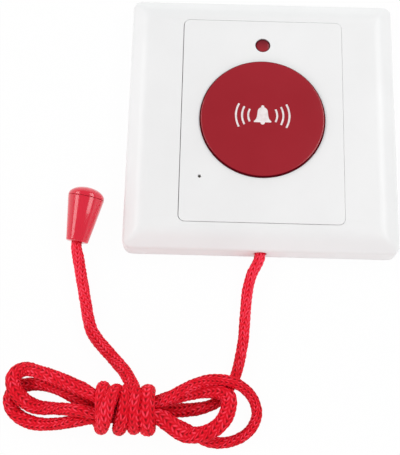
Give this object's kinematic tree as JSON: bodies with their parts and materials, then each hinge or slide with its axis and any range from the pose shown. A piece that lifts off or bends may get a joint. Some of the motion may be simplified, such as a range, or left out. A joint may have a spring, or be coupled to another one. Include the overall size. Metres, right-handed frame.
{
  "type": "wall call button with pull cord",
  "caption": "Square bevelled wall unit with a large round push button, an indicator lamp and a hanked pull cord ending in a tapered knob, for calling help.",
  "frame": {"origin": "centre of the back face, which lies flat on the table or wall", "axes": "+X to the right of the front face, +Y to its top edge, +Z out of the face"},
  "size_m": [0.1189, 0.1451, 0.0167],
  "materials": {
    "white_shell": "satin moulded",
    "white_base": "matt moulded",
    "red_button": "satin",
    "red_lens": "tinted epoxy lens",
    "spring_steel": "bright wire",
    "black_plastic": "moulded",
    "board_green": "solder mask",
    "metal_can": "drawn can",
    "copper_wire": "bare wire",
    "contact_strip": "rolled strip",
    "tan_plastic": "moulded",
    "white_nylon": "moulded",
    "cord_knit": "knitted",
    "red_knob": "polished"
  },
  "bodies": {
    "housing": {"back_plate": "white_base", "front_cover": "white_shell", "insert_panel": "white_shell", "indicator_led": "red_lens", "circuit_board": "board_green", "encoder_chip": "black_plastic", "radio_crystal": "metal_can", "antenna_coil": "copper_wire", "battery_holder": "black_plastic", "battery_contact": "contact_strip", "coin_cell": "metal_can", "call_switch_body": "black_plastic", "pair_switch_body": "black_plastic", "pull_switch_body": "black_plastic", "board_screws": "metal_can", "button_spring": "spring_steel", "pull_spring": "spring_steel"},
    "button": {"push_button": "red_button"},
    "call_plunger": {"call_switch_plunger": "white_nylon"},
    "pair_stem": {"pair_switch_stem": "tan_plastic"},
    "pull": {"cord_slider": "white_nylon", "cord_knot": "cord_knit", "cord_lead": "cord_knit", "cord_hank": "cord_knit", "cord_tail": "cord_knit", "knob_body": "red_knob", "knob_cap": "red_knob", "knob_knot": "cord_knit"},
    "pull_plunger": {"pull_switch_plunger": "white_nylon"}
  },
  "joints": [
    {"name": "button_press", "type": "slide", "parent": "housing", "child": "button", "axis": [0, 0, -1], "range_m": [0, 0.001], "stiffness_N_per_m": 900, "springref_m": -0.0005, "deforming": ["button_spring"]},
    {"name": "call_plunger_press", "type": "slide", "parent": "housing", "child": "call_plunger", "axis": [0, 0, -1], "range_m": [0, 0.001]},
    {"name": "pull_slide", "type": "slide", "parent": "housing", "child": "pull", "axis": [0, -1, 0], "range_m": [0, 0.0036], "stiffness_N_per_m": 600, "springref_m": -0.001, "deforming": ["pull_spring"]},
    {"name": "pull_plunger_press", "type": "slide", "parent": "housing", "child": "pull_plunger", "axis": [1, 0, 0], "range_m": [0, 0.0009]},
    {"name": "pair_press", "type": "slide", "parent": "housing", "child": "pair_stem", "axis": [0, 0, -1], "range_m": [0, 0.00025], "stiffness_N_per_m": 4000, "springref_m": -0.00005}
  ],
  "couplings": [
    {"joint": "call_plunger_press", "follows": "button_press", "ratio": 1},
    {"joint": "pull_plunger_press", "follows": "pull_slide", "ratio": 0.25}
  ]
}
